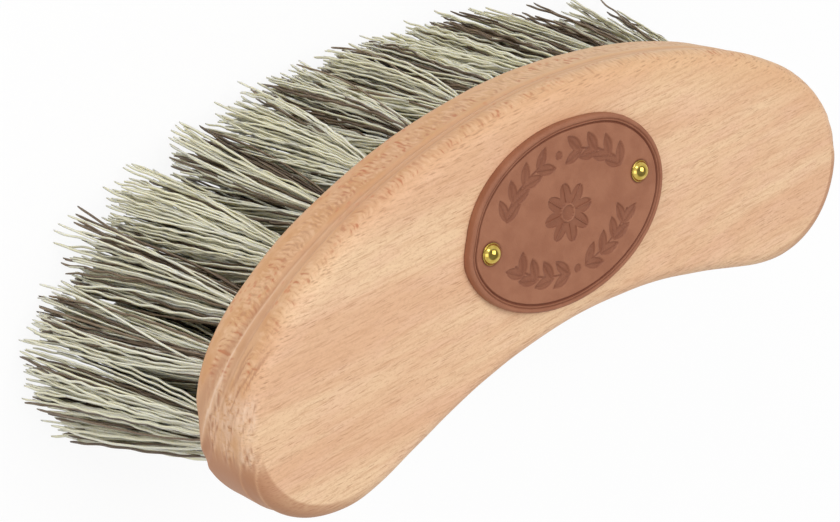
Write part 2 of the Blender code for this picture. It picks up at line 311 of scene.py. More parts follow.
def block_side(outline, outline_normal, way, profile, profile_normal, drop):
    """The block's side: each outline point, moved inwards by the profile's inset and up by its rise.

    It is pushed in along its normal by the grooves, and slow ripples as deep as hand_depth run all over
    it. Where the cut crosses the end grain it is torn: rough to tear_depth, with oblique dark streaks
    where it crosses the rings. Round the tip the concave side is darkened by painted shade. Gives the
    points, how far each lies in a groove, its painted light and tone from -1 to 1 and how torn it is, 0 to 1.
    """
    wall = outline[None] - outline_normal[None] * profile[:, 0, None, None]
    side = np.dstack([wall, np.broadcast_to(profile[:, 1, None], wall.shape[:2])])
    way, drop = np.broadcast_arrays(way[None], drop[:, None])
    depth, inside, painted_light_and_tone = routed_grooves(way, drop)
    fade = ramp(drop, 0.0, fade_drop) * ramp(drop[-1] - drop, 0.0, fade_drop)
    flat = np.dstack([way / 3, drop, side[..., 0] / 30])
    torn = patch(way, drop, *torn_patch) * (0.8 + 0.5 * ripples(flat, tear_gap_size, 5))
    torn = np.clip(torn, 0, 1) * np.where(side[..., 0] > 0, tear_right_share, 1.0)
    oblique = np.dstack([way / 9, drop + streak_slope * way, side[..., 0] / 30])
    streaks = streak_tone * ramp(ripples(oblique, streak_size, 6), 0.4, 1.2) * patch(way, drop, *streak_patch)
    painted_light_and_tone += tear_tone * torn * ripples(flat, tear_tone_size, 8) - streaks
    # Painted shade on the concave side round the tip.
    painted_light_and_tone -= shaded_edge_tone * patch(way, drop, *shaded_edge_patch)
    painted_light_and_tone -= shaded_wall_tone * patch(way, drop, *shaded_wall_patch)
    painted_light_and_tone = np.clip(painted_light_and_tone, -1, 1)
    push = hand_depth * ripples(side, hand_size, 7) * fade - groove_depth * depth
    push += tear_depth * torn * ripples(flat, tear_rough_size, 9) - streak_depth * streaks
    side[..., :2] -= outline_normal[None] * (profile_normal[:, 0, None] * push)[..., None]
    side[..., 2] += profile_normal[:, 1, None] * push
    return side, inside, painted_light_and_tone, torn


def make_block():
    """The block: its side, and its two flat faces lofted across. The way and the drop go into a UV map."""
    outline, outline_normal, run = block_outline(outline_shares, outline_count)
    tip = run[outline_count // 2]
    here = run[:-1]
    convex = np.minimum(here, tip - here)
    concave = np.minimum(here - tip, run[-1] - here)
    way = np.where(here < tip, convex, -concave)
    profile, profile_normal, drop = block_profile(profile_count)
    side, inside, painted_light_and_tone, torn = block_side(outline, outline_normal, way, profile, profile_normal, drop)
    ring_points = profile_count * outline_count
    back, back_quads = lofted_cap(side[0], 0, ring_points, face_steps, False)
    last = ring_points - outline_count
    below, below_quads = lofted_cap(side[-1], last, ring_points + len(back), face_steps, True)
    wall = grid_faces(profile_count, outline_count, wrap=True)
    points = np.vstack([side.reshape(-1, 3), back, below]) + block_origin
    block = mesh_piece("beech_block", points, np.vstack([wall, back_quads, below_quads]))
    places = np.zeros((len(points), 2))
    places[:ring_points] = np.stack(np.broadcast_arrays(way[None], drop[:, None]), axis=-1).reshape(-1, 2)
    corners = np.empty(len(block.data.loops), dtype=np.int32)
    block.data.loops.foreach_get("vertex_index", corners)
    block.data.uv_layers.new(name="side").data.foreach_set("uv", places[corners].ravel())
    for name, values in (("painted_groove_shade", inside), ("painted_light_and_tone", painted_light_and_tone), ("torn", torn)):
        point_values(block, name, np.pad(values.ravel(), (0, len(points) - ring_points)))
    return block


class Nodes:
    """A node tree, with one short call for each kind of node."""

    def __init__(self, tree):
        self.tree = tree

    def feed(self, socket, value):
        """Links another node's output to a socket, or sets the socket to a plain value."""
        if isinstance(value, bpy.types.NodeSocket):
            self.tree.links.new(value, socket)
        else:
            socket.default_value = value

    def node(self, kind, settings, *inputs, **named):
        """Adds a node with its settings, and feeds its inputs in order or by name."""
        made = self.tree.nodes.new("ShaderNode" + kind)
        for key, value in settings.items():
            setattr(made, key, value)
        for place, value in enumerate(inputs):
            self.feed(made.inputs[place], value)
        for key, value in named.items():
            self.feed(made.inputs[key.replace("_", " ")], value)
        return made

    def math(self, operation, *values):
        return self.node("Math", {"operation": operation}, *values).outputs[0]

    def times(self, *values):
        product = values[0]
        for value in values[1:]:
            product = self.math("MULTIPLY", product, value)
        return product

    def attribute(self, name):
        return self.node("Attribute", {"attribute_name": name}).outputs["Fac"]

    def stretched(self, *scale, wobble=0.0):
        """Object coordinates, each axis scaled by its own number, first shifted to and fro by wobble."""
        place = self.node("TexCoord", {}).outputs["Object"]
        if wobble:
            drift = self.node("TexNoise", {}, Vector=place, Scale=260.0, Detail=3.0).outputs["Color"]
            settings = {"operation": "MULTIPLY_ADD"}
            place = self.node("VectorMath", settings, drift, (wobble,) * 3, place).outputs[0]
        return self.node("Mapping", {}, Vector=place, Scale=scale).outputs[0]

    def noise(self, vector, detail=3.0, roughness=0.5, distortion=0.0):
        named = {"Scale": 1.0, "Detail": detail, "Roughness": roughness, "Distortion": distortion}
        return self.node("TexNoise", {}, Vector=vector, **named).outputs["Fac"]

    def cells(self, vector):
        """The distance to the nearest of many scattered points."""
        return self.node("TexVoronoi", {}, Vector=vector, Scale=1.0).outputs["Distance"]

    def specks(self, vector, size, blur):
        """1 inside scattered specks and 0 outside: the nearest scattered point is closer than size."""
        return self.span(self.cells(vector), size + blur, size - blur)

    def span(self, value, low, high):
        """A smooth ramp from 0 at low to 1 at high."""
        settings = {"interpolation_type": "SMOOTHSTEP"}
        return self.node("MapRange", settings, Value=value, From_Min=low, From_Max=high).outputs[0]

    def blend(self, share, first, second):
        made = self.node("Mix", {"data_type": "RGBA"})
        for place, value in ((0, share), (6, first), (7, second)):
            self.feed(made.inputs[place], value)
        return made.outputs[2]

    def over(self, colour, paint, *shares):
        """A paint laid over a colour, as much as the product of the shares."""
        return self.blend(self.times(*shares), colour, paint)

    def bump(self, height, distance, under=None):
        made = self.node("Bump", {}, Height=height, Distance=distance)
        if under is not None:
            self.feed(made.inputs["Normal"], under)
        return made.outputs["Normal"]


class Shader(Nodes):
    """A material's nodes round its surface, whose fixed inputs are given with its name."""

    def __init__(self, name, **fixed):
        self.material = bpy.data.materials.new(name)
        self.material.use_nodes = True
        super().__init__(self.material.node_tree)
        self.surface = self.tree.nodes["Principled BSDF"]
        for socket, value in fixed.items():
            self.surface.inputs[socket.replace("_", " ")].default_value = value

    def finish(self, **inputs):
        """Feeds the surface's other inputs and gives the material."""
        for key, value in inputs.items():
            self.feed(self.surface.inputs[key.replace("_", " ")], value)
        return self.material


def tint(red, green, blue):
    """A colour written as a screen's 0 to 255 values, as the linear numbers that a shader takes."""
    share = np.array([red, green, blue]) / 255
    linear = np.where(share <= 0.04045, share / 12.92, ((share + 0.055) / 1.055) ** 2.4)
    return (*linear.tolist(), 1.0)


def chatter_marks(shade, u, v, middle, reach):
    """Bowed cutter marks across a band of the side: a wave of u, bent by the square of the way to the middle.

    Stretched noise along with the wave makes them uneven, so that some are missing and some run together.
    Above 0 on the dark marks and below 0 on the pale ones.
    """
    away = shade.math("SUBTRACT", v, middle)
    turned = shade.math("MULTIPLY_ADD", shade.noise(shade.stretched(160, 160, 160), 2.0), 7.0, -3.0)
    bow = shade.times(shade.math("POWER", shade.math("ABSOLUTE", away), 2.0), turned, chatter_bow / reach**2)
    bent = shade.math("ADD", u, bow)
    jitter = shade.times(shade.noise(shade.stretched(150, 150, 150), 2.0), chatter_jitter)
    turns = shade.math("DIVIDE", shade.math("ADD", bent, jitter), chatter_pitch)
    wave = shade.math("MULTIPLY_ADD", shade.math("SINE", shade.times(turns, 2 * math.pi)), 0.07, -0.51)
    flat = shade.node("CombineXYZ", {}, shade.times(bent, 860.0), shade.times(v, 330.0), middle).outputs[0]
    uneven = shade.math("ADD", wave, shade.noise(flat, 2.0, 0.5, 0.6))
    inside = shade.span(shade.math("ABSOLUTE", away), reach, reach * 0.5)
    return shade.times(uneven, inside, shade.span(shade.math("ABSOLUTE", u), *chatter_start))


def ray_dashes(shade):
    """1 inside the short dashes of the beech's rays and 0 outside: dark ones in patches, and faint ones."""
    dark = shade.specks(shade.stretched(190, 1900, 1300, wobble=0.0006), 0.20, 0.12)
    faint = shade.specks(shade.stretched(130, 1500, 950, wobble=0.0006), 0.24, 0.16)
    patches = shade.span(shade.noise(shade.stretched(40, 150, 150), 2.0), 0.28, 0.62)
    return shade.math("MAXIMUM", shade.times(dark, patches), shade.times(faint, 0.55))


def sanded_back(shade, bands, fibres, rays, right):
    """The back's colour: soft pale and pink bands, fine fibres, ray dashes and grit.

    Along the convex edge its right part is darker and warmer: painted shade where the back turns over.
    """
    colour = shade.blend(shade.span(bands, 0.36, 0.64), tint(228, 183, 146), tint(239, 204, 165))
    blotches = shade.noise(shade.stretched(70, 230, 180), 2.0)
    colour = shade.over(colour, tint(236, 193, 162), shade.span(blotches, 0.45, 0.68), 0.4)
    colour = shade.over(colour, tint(204, 155, 117), shade.span(fibres, 0.42, 0.72), 0.5)
    colour = shade.over(colour, tint(178, 126, 90), rays, 0.6)
    centre = (block_origin[0], block_origin[1] + half_width - bow_radius, 0.0)
    outward = shade.node("VectorMath", {"operation": "DISTANCE"}, shade.stretched(1, 1, 0), centre)
    painted_edge_shade = shade.span(outward.outputs["Value"], bow_radius - bow_band, bow_radius)
    # Painted shade: darker and warmer along the right part of the convex edge.
    colour = shade.over(colour, tint(222, 174, 128), painted_edge_shade, right, 0.6)
    grit = shade.noise(shade.stretched(1300, 2600, 2600), 2.0, 0.7)
    return shade.over(colour, tint(202, 156, 122), shade.span(grit, 0.48, 0.72), 0.5)


def routed_wall(shade, bands, right):
    """The side's colour, warmer than the back's: fine pores and amber clouds, and a painted sheen that makes
    it paler at the right.
    """
    colour = shade.blend(shade.span(bands, 0.3, 0.7), tint(207, 155, 114), tint(218, 173, 131))
    pores = shade.noise(shade.stretched(900, 900, 1500), 2.0, 0.6)
    colour = shade.over(colour, tint(196, 140, 100), shade.span(pores, 0.5, 0.72), 0.45)
    amber = shade.noise(shade.stretched(120, 120, 200), 3.0, 0.6)
    colour = shade.over(colour, tint(203, 147, 94), shade.span(amber, 0.46, 0.62), 0.6)
    # Painted sheen: the right part of the side is paler.
    return shade.over(colour, tint(219, 187, 146), right, 0.6)


def beech_finish():
    """Steamed beech, sanded on its back and routed round its side.

    Over both lie fibres pulled out along the back's edge, flecks, the groove darkened by painted shade, the
    cutter marks, the torn end grain, and the side's painted light and tone.
    """
    shade = Shader("steamed_beech", Roughness=0.55, Specular_IOR_Level=0.3)
    place = shade.node("SeparateXYZ", {}, shade.node("UVMap", {"uv_map": "side"}).outputs[0])
    u, v = place.outputs[0], place.outputs[1]
    side = shade.span(v, *side_drop)
    along = shade.node("SeparateXYZ", {}, shade.stretched(1, 1, 1)).outputs[0]
    right = shade.span(along, *(block_origin[0] + right_span))
    torn, painted_light_and_tone, painted_groove_shade = (shade.attribute(name) for name in ("torn", "painted_light_and_tone", "painted_groove_shade"))
    bands = shade.noise(shade.stretched(9, 75, 45), 4.0, 0.55, 0.5)
    fibres = shade.noise(shade.stretched(75, 1500, 1100, wobble=0.0008), 4.0, 0.7)
    rays = shade.times(ray_dashes(shade), shade.math("SUBTRACT", 1.0, side))
    back = sanded_back(shade, bands, fibres, rays, right)
    colour = shade.over(back, routed_wall(shade, bands, right), side, 0.9)
    pulled = shade.specks(shade.stretched(230, 1600, 1300, wobble=0.0006), 0.26, 0.16)
    pulled = shade.times(pulled, shade.span(v, *pulled_start), shade.span(v, *pulled_end))
    colour = shade.over(colour, tint(168, 118, 84), pulled, 0.5)
    flecks = shade.specks(shade.stretched(520, 520, 760), 0.30, 0.14)
    spots = shade.span(shade.noise(shade.stretched(75, 75, 110), 2.0), 0.50, 0.64)
    colour = shade.over(colour, tint(203, 122, 80), flecks, spots, side, 0.6)
    # Painted shade: the groove's hollow is laid a little darker and greyer, except where the grain is torn.
    colour = shade.over(colour, tint(206, 161, 127), painted_groove_shade, shade.math("SUBTRACT", 1.0, torn), 0.5)
    upper, lower = (chatter_marks(shade, u, v, *band) for band in chatter_bands)
    marks = shade.math("MULTIPLY_ADD", upper, 0.75, lower)
    redder = shade.span(shade.noise(shade.stretched(110, 110, 110), 2.0), 0.42, 0.62)
    stain = shade.blend(redder, tint(180, 128, 92), tint(188, 110, 70))
    strength = shade.math("MULTIPLY_ADD", redder, 0.35, 0.45)
    colour = shade.over(colour, stain, shade.span(marks, 0.0, 0.17), strength)
    colour = shade.over(colour, tint(233, 193, 155), shade.span(marks, -0.01, -0.16), 0.45)
    frayed = shade.noise(shade.stretched(700, 700, 420), 3.0, 0.65)
    colour = shade.over(colour, tint(236, 202, 174), torn, shade.span(frayed, 0.34, 0.54), 0.55)
    colour = shade.over(colour, tint(176, 124, 92), torn, shade.span(frayed, 0.40, 0.30), 0.7)
    # Painted highlight where the tone is above 0 and painted shade where it is below 0; the torn grain's
    # ripples and the dark streaks in it are the wood's own.
    colour = shade.over(colour, tint(238, 207, 180), shade.span(painted_light_and_tone, 0.0, 1.0), 0.7)
    colour = shade.over(colour, tint(174, 120, 86), shade.span(painted_light_and_tone, 0.0, -1.0), 0.85)
    grain = shade.bump(shade.math("SUBTRACT", fibres, rays), grain_depth)
    rough = shade.bump(shade.times(frayed, torn), frayed_depth, under=grain)
    return shade.finish(Base_Color=colour, Normal=shade.bump(marks, -chatter_depth, under=rough))


block = make_block()
block.data.materials.append(beech_finish())
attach(block, "root")
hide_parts("brush_back")


# The badge is a hand-cut oval of thick vegetable-tanned leather, held down by its nails. Its rim is
# rounded and set off by two pressed lines. Its smooth field carries a wreath of leaves round a small
# flower, pressed in so that the leather darkens there, and the grain shows finely all over.

badge_low, badge_high = (np.array(corner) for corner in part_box("leather_badge"))
badge_middle = (badge_low + badge_high) / 2
badge_radii = (badge_high - badge_low)[:2] / 2
badge_sink = 0.00005  # into the wood
badge_foot = block_high[2] - badge_sink
badge_rise = badge_high[2] - badge_foot
rim_width = 0.0014
rim_round = 0.0007
rim_crown = 0.00014
rim_slope = 0.0004
rim_tone = 0.06
line_width = 0.0003
line_depth = 0.0004
line_spacing = 0.0008  # between the two pressed lines
field_drop = 0.00015
stamp_depth = 0.0004
leaf_length = 0.0068
leaf_width = 0.0030
leaf_step = 0.265  # between neighbouring pairs of leaves, round the oval
leaf_pairs = 5  # in each quarter
leaf_lean = 0.6
leaf_shift = 0.0015
wreath_share = 0.64
stem_width = 0.0003
stem_slope = 0.0001
berry_radius = 0.0011
berry_slope = 0.00015
flower_radius = 0.0078
dent_radius = 0.0034  # the leather is pressed down this far round a nail, and painted darker there as the head's shadow
dent_slope = 0.0006
dent_depth = 0.0001
pebble_depth = 0.00002
pebble_size = 0.004
flat_share = 0.042  # the oval is this much shorter towards its left end and the block's convex edge
flat_start = (0.8, 1.4)  # in radians round the oval
flat_end = (3.25, 2.85)
badge_angles = 560
badge_rings = 150
leather_grain = 0.000035
inner_share = 0.86  # two thirds of the rings lie within this share of the way out


def wreath(x, y):
    """How deep the stamp goes at a point, 0 to 1: two leafy sprigs on an oval, mirrored, round a flower.

    A leaf is the lens |v| < w (1 - (u / l)^2), u along it, with a raised vein where v is small. The
    flower's edge is r (0.62 + 0.38 |cos 4a|), with a raised ring round its middle.
    """
    right = np.abs(x)
    turn = np.arctan2(y / badge_radii[1], right / badge_radii[0])
    depth = np.zeros(np.shape(x))
    for neighbour in (-1, 0, 1):
        step = np.round(turn / leaf_step) + neighbour
        near = step * leaf_step
        middle = np.stack([np.cos(near) * badge_radii[0], np.sin(near) * badge_radii[1]]) * wreath_share
        out = middle / np.linalg.norm(middle, axis=0)
        grown = (np.abs(step) > 1.5) & (np.abs(step) < leaf_pairs + 0.5)
        for side in (1, -1):
            way = np.stack([-out[1], out[0]]) * math.cos(leaf_lean) + out * side * math.sin(leaf_lean)
            dx = right - middle[0] - out[0] * side * leaf_shift
            dy = y - middle[1] - out[1] * side * leaf_shift
            u = (dx * way[0] + dy * way[1]) / (leaf_length / 2)
            v = (dy * way[0] - dx * way[1]) / (leaf_width / 2)
            lens = ramp(1 - u**2 - np.abs(v), 0.0, 0.25)
            vein = 1 - 0.75 * ramp(np.abs(v), 0.17, 0.05) * ramp(0.8 - np.abs(u), 0.0, 0.2)
            depth = np.maximum(depth, lens * vein * grown)
    away = np.hypot(right / badge_radii[0], y / badge_radii[1]) - wreath_share
    stem = ramp(stem_width - np.abs(away) * badge_radii[1], 0.0, stem_slope)
    stem *= ramp(np.abs(turn), leaf_step * 1.6, leaf_step * 1.7)
    stem *= ramp(leaf_step * leaf_pairs - np.abs(turn), 0.0, 0.02)
    depth = np.maximum(depth, 0.8 * stem)
    berries = np.hypot(x, np.abs(y) - wreath_share * badge_radii[1])
    depth = np.maximum(depth, ramp(berry_radius - berries, 0.0, berry_slope))
    radius, angle = np.hypot(x, y) / flower_radius, np.arctan2(y, x)
    petals = ramp(0.62 + 0.38 * np.abs(np.cos(4 * angle)) - radius, 0.0, 0.07)
    petals *= 1 - ramp(0.05 - np.abs(radius - 0.27), 0.0, 0.03)
    slits = ramp(0.03 - np.abs(np.sin(4 * angle)) * radius * 0.25, 0.0, 0.02)
    petals *= 1 - 0.8 * slits * ramp(radius, 0.32, 0.4)
    return np.maximum(depth, petals)


def closed_rings(name, rings, poles, turned):
    """A piece of rings of points, joined ring to ring, and closed by a fan from each end ring to its pole."""
    count = rings.shape[1]
    first = np.arange(count)
    after = np.roll(first, -1)
    hub = np.full(count, len(rings) * count)
    last = hub - count
    near = np.stack([hub, hub, after, first], axis=1)
    far = np.stack([hub + 1, hub + 1, last + first, last + after], axis=1)
    quads = np.vstack([grid_faces(len(rings), count, wrap=True), near, far])
    return mesh_piece(name, np.vstack([rings.reshape(-1, 3), poles]), quads[:, ::-1] if turned else quads)


def make_badge():
    """The badge: rings of points from its middle to its edge, lifted by its height, then down to its foot.

    Near the edge the way in from it is w = (1 - q) / |grad q| with q = x^2 / a^2 + y^2 / b^2.
    """
    turn = np.arange(badge_angles) * 2 * math.pi / badge_angles
    inner = np.linspace(0, inner_share, badge_rings * 2 // 3, endpoint=False)[1:]
    share = np.concatenate([inner, np.linspace(inner_share, 1, badge_rings // 3)])[:, None]
    x = share * badge_radii[0] * np.cos(turn)
    y = share * badge_radii[1] * np.sin(turn)
    inset = (1 - share**2) / (2 * np.hypot(x / badge_radii[0] ** 2, y / badge_radii[1] ** 2))
    pull = 1 - flat_share * ramp(turn, *flat_start) * ramp(turn, *flat_end)
    x *= pull
    y *= pull
    rounding = rim_round - np.sqrt(rim_round**2 - np.clip(rim_round - inset, 0, rim_round) ** 2)
    crown = rim_crown * np.sin(math.pi * np.clip(inset / rim_width, 0, 1))
    second_line = rim_width + line_spacing
    line = 0.7 * np.clip(1 - np.abs(inset - rim_width) / line_width, 0, 1)
    line += np.clip(1.4 - np.abs(inset - second_line) / line_width, 0, 1)
    field = ramp(inset, second_line - line_width, second_line)
    stamp = wreath(x, y)
    nails = [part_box(node) for node in ("nail_left", "nail_right")]
    nail_places = [(np.array(low) + np.array(high)) / 2 - badge_middle for low, high in nails]
    away = np.min([np.hypot(x - place[0], y - place[1]) for place in nail_places], axis=0)
    # Round each nail the leather is pressed down and painted darker as the head's shadow.
    dent_and_shade = ramp(away, dent_radius, dent_radius - dent_slope)
    height = badge_rise - rim_crown - rounding + crown - line_depth * line - field_drop * field
    height += pebble_depth * ripples(np.dstack([x, y, 0 * x]), pebble_size, 11)
    height -= stamp_depth * stamp + dent_depth * dent_and_shade
    top = np.dstack([x, y, height])
    wall = np.repeat(top[-1:], 3, axis=0)
    wall[:, :, 2] *= np.array([0.66, 0.33, 0.0])[:, None]
    foot = np.array([badge_middle[0], badge_middle[1], badge_foot])
    poles = foot + [[0, 0, height[0].mean()], [0, 0, 0]]
    badge = closed_rings("leather_oval", np.vstack([top, wall]) + foot, poles, True)
    rim = rim_tone * ramp(rim_width - inset, 0.0, rim_slope)
    # Darker where pressed, with painted shadow round the nails.
    dark = np.maximum(0.45 * stamp + 2.2 * stamp * (1 - stamp), line + rim + dent_and_shade)
    point_values(badge, "pressed_and_shaded", np.pad(dark.ravel(), (0, len(badge.data.vertices) - dark.size)))
    return badge


def leather_finish():
    """Smooth brown leather with a fine pebbled grain, darker where it is pressed, and with painted shadow
    round the nails.
    """
    shade = Shader("brown_leather", Specular_IOR_Level=0.25)
    mottle = shade.noise(shade.stretched(160, 160, 160), 3.0)
    colour = shade.blend(shade.span(mottle, 0.35, 0.65), tint(154, 100, 74), tint(163, 109, 82))
    colour = shade.over(colour, tint(112, 60, 42), shade.attribute("pressed_and_shaded"), 0.85)
    cells = shade.cells(shade.stretched(2600, 2600, 2600))
    fine = shade.noise(shade.stretched(3800, 3800, 3800), 2.0)
    pebble = shade.bump(shade.math("ADD", cells, fine), leather_grain)
    rough = shade.math("MULTIPLY_ADD", shade.span(mottle, 0.3, 0.7), 0.08, 0.50)
    return shade.finish(Base_Color=colour, Normal=pebble, Roughness=rough)


badge = make_badge()
badge.data.materials.append(leather_finish())
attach(badge, "root")
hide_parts("leather_badge")


# The two nails are solid brass pins, driven through the badge into the block. Each head is a polished
# dome that ends in a thin rounded brim, pressed a little into the leather.

head_radius = 0.00275
head_rim = 0.0002
dome_radius = 0.00264
dome_rise = 0.0019
shank_radius = 0.0008
point_length = 0.0015
shank_shares = np.array([0.4, 1.0, 1.0])  # of the shank's radius: its point, its full width and its top
nail_sink = 0.00018  # into the leather
nail_turns = 64
brim_shares = np.array([[0.965, 0.0], [1.0, 0.25], [1.0, 0.7], [0.985, 0.93], [0.965, 1.0]])


def make_nail(name, node):
    """A nail turned from its profile of (radius, rise): point, shank, the brim and the dome.

    The dome is the circle's arc r = R sin a, z = c + R cos a through its foot and its top.
    """
    low, high = (np.array(corner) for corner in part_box(node))
    seat = badge_foot + badge_rise - field_drop - nail_sink
    top = seat + head_rim + dome_rise
    curve = (dome_radius**2 + dome_rise**2) / (2 * dome_rise)
    turn = np.linspace(math.asin(dome_radius / curve), 0, 26)[:-1]
    brim = brim_shares * [head_radius, head_rim]
    shank_rise = [low[2], low[2] + point_length, seat]
    radius = np.concatenate([shank_shares * shank_radius, brim[:, 0], curve * np.sin(turn)])
    rise = np.concatenate([shank_rise, seat + brim[:, 1], top - curve * (1 - np.cos(turn))])
    angle = np.arange(nail_turns) * 2 * math.pi / nail_turns
    flat = radius[:, None, None] * np.stack([np.cos(angle), np.sin(angle)], axis=-1)
    rings = np.dstack([flat, np.broadcast_to(rise[:, None], flat.shape[:2])])
    centre = np.array([(low[0] + high[0]) / 2, (low[1] + high[1]) / 2, 0.0])
    return closed_rings(name, rings + centre, centre + [[0, 0, low[2]], [0, 0, top]], False)


def brass_finish():
    """Polished brass, a little uneven where it was handled."""
    shade = Shader("polished_brass", Metallic=1.0)
    smear = shade.noise(shade.stretched(900, 900, 900), 2.0)
    colour = shade.blend(shade.span(smear, 0.3, 0.7), tint(186, 158, 72), tint(210, 184, 98))
    return shade.finish(Base_Color=colour, Roughness=shade.math("MULTIPLY_ADD", smear, 0.08, 0.05))


brass = brass_finish()
for name, node in (("brass_nail_left", "nail_left"), ("brass_nail_right", "nail_right")):
    nail = make_nail(name, node)
    nail.data.materials.append(brass)
    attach(nail, "root")
    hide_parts(node)


# Each tuft is a bundle of stiff crimped fibres, cream ones and dark brown ones together, folded over a
# wire anchor and driven into its hole. The fibres are packed at the root, fan out towards their ragged
# tips and cross their neighbours. The outer tufts lean outwards.

fibre_radius = 0.0004
fibres_per_tuft = 124
fibre_rings = 40
packed_radius = 0.0033
fan_spread = 2.8  # a fibre's place in the fan, as a share of its place in the root
fan_stretch = 1.3
lock_size = 0.006
crimp_length = 0.0086
crimp_height = 0.0002
lock_shift = 0.0016
stray = 0.0018
wild_stray = 0.0035
wild_share = 0.06  # of all fibres
bow_height = 0.0010
bow_stray = 0.0007
sway = 0.0004
ragged_depth = 0.010
root_sink = 0.002
end_reach = (0.060, 0.080)  # from the block's middle: where its ends begin
hidden_reach = (-0.020, 0.0)  # across the block: the fan doesn't swell on the concave side
corner_across = (0.018, 0.024)  # the concave side's tufts near the left end stand out and are paler
corner_along = (0.055, 0.080)
corner_lean_share = 0.25
corner_pale_share = 0.42
end_trim_share = 0.85  # the fan of the ends' tufts reaches this much less far towards the concave side
least_reach = 0.005
dark_shares = (0.18, 0.38)  # of the fibres in a pale and in a dark tuft
darker_share = 0.07  # is added towards the ends
darker_middle = -0.03
darker_reach = (0.045, 0.075)
swells = (  # the whole brush's fan swells and shrinks along it: where, how far and how much
    (-0.095, 0.012, -0.0022),
    (-0.063, 0.016, 0.0044),
    (0.012, 0.026, -0.0024),
    (0.060, 0.030, -0.0028),
)


def tuft_root_and_tip(node):
    """Where a tuft's bundle leaves the block and where it ends on average, read from the tuft's own solid."""
    points = np.array([tuple(vertex.co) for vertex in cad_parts[node].data.vertices])
    root = points[np.abs(points[:, 2] - block_low[2]) < 0.001].mean(axis=0)
    tip = points[points[:, 2] < 0.008].mean(axis=0)
    return root, tip


def in_left_corner(root):
    """How near a tuft is to the concave side's left end, 0 to 1."""
    return ramp(-root[1], *corner_across) * ramp(-root[0], *corner_along)


def crimped_fibres(root, tip, dark_share, rng):
    """The rings of every fibre in one tuft, by fibre, ring, side and coordinate, and which fibres are dark.

    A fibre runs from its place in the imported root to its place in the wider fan, root (1 - s) + tip s
    with s = t^0.95, plus one slow bow, sin(pi t), a sway, sin(2 pi t), and a crimp, sin(2 pi z / pitch +
    phase), all across it. The fan, the bow and the phase change slowly across the root, so that
    neighbours nest in locks.
    """
    count = fibres_per_tuft
    order = np.arange(count) + 0.5
    angle = order * math.pi * (3 - math.sqrt(5))
    start = np.stack([np.cos(angle), np.sin(angle)], axis=1) * packed_radius * np.sqrt(order / count)[:, None]
    place = np.pad(start, ((0, 0), (0, 1)))
    locks = np.stack([ripples(place, lock_size, rng.integers(1000)) for _ in range(6)], axis=1)
    fan = start * (fan_spread + 0.5 * locks[:, :1]) + lock_shift * locks[:, 1:3]
    fan += rng.normal(0, stray, (count, 2))
    fan += rng.normal(0, wild_stray, (count, 2)) * (rng.uniform(size=(count, 1)) < wild_share)
    lean = (tip - root)[:2]
    reach = np.linalg.norm(lean)
    out = lean / reach
    swell = sum(size * math.exp(-(((root[0] - middle) / width) ** 2)) for middle, width, size in swells)
    swell = min(swell, swell * ramp(root[1], *hidden_reach))
    lean *= 1 + swell / max(reach, least_reach) + corner_lean_share * in_left_corner(root)
    fan = fan * fan_stretch - (fan @ out * (0.3 + 0.5 * (fan @ out > 0)))[:, None] * out
    fan[:, 1] *= 1 - end_trim_share * ramp(abs(root[0]), *end_reach) * (fan[:, 1] < 0)
    end_z = ragged_depth * rng.beta(1.3, 2.3, count)[:, None]
    t = np.linspace(0, 1, fibre_rings)[None, :, None]
    s = t**0.95
    path = root[:2] + start[:, None] * (1 - s) + (fan[:, None] + lean) * s
    bow = bow_height * locks[:, 3:5] + rng.normal(0, bow_stray, (count, 2))
    path = path + bow[:, None] * np.sin(math.pi * t)
    path = path + rng.normal(0, sway, (count, 1, 2)) * np.sin(2 * math.pi * t)
    length = block_low[2] + root_sink - end_z
    plane = rng.normal(rng.uniform(0, 2 * math.pi), 0.5, count)
    phase = rng.uniform(0, 2 * math.pi) + 1.5 * locks[:, 5] + rng.normal(0, 0.4, count)
    pitch = crimp_length * rng.uniform(0.85, 1.2) * rng.uniform(0.96, 1.04, count)
    wave = np.sin(2 * math.pi * length * t[..., 0] / pitch[:, None] + phase[:, None])
    wave *= crimp_height * rng.uniform(0.2, 1.5, (count, 1)) * np.clip(t[..., 0] * 8, 0.2, 1)
    path = path + wave[..., None] * np.stack([np.cos(plane), np.sin(plane)], axis=1)[:, None]
    corner = np.arange(3) * 2 * math.pi / 3
    around = np.stack([np.cos(corner), np.sin(corner)], axis=1) * fibre_radius
    thickness_share = rng.uniform(0.78, 1.12, (count, 1)) * (1 - 0.4 * ramp(t[..., 0], 0.97, 1.0))
    rings = np.empty((count, fibre_rings, 3, 3))
    rings[..., :2] = path[:, :, None] + around * thickness_share[..., None, None]
    rings[..., 2] = np.maximum(block_low[2] + root_sink - length * t[..., 0], 0)[:, :, None]
    way = rng.uniform(0, 2 * math.pi)
    across = start @ [math.cos(way), math.sin(way)] / packed_radius
    striped = np.sin(3.0 * across + rng.uniform(0, 2 * math.pi)) + rng.normal(0, 0.9, count)
    return rings, striped < np.quantile(striped, dark_share)


def fibre_quads():
    """The quads of every fibre's wall, and the triangles of both its ends as quads with a repeated corner."""
    last = 3 * (fibre_rings - 1)
    caps = np.array([[0, 1, 2, 2], [last + 2, last + 1, last, last]])
    one = np.vstack([grid_faces(fibre_rings, 3, wrap=True)[:, ::-1], caps])
    return (one[None] + (np.arange(fibres_per_tuft) * 3 * fibre_rings)[:, None, None]).reshape(-1, 4)


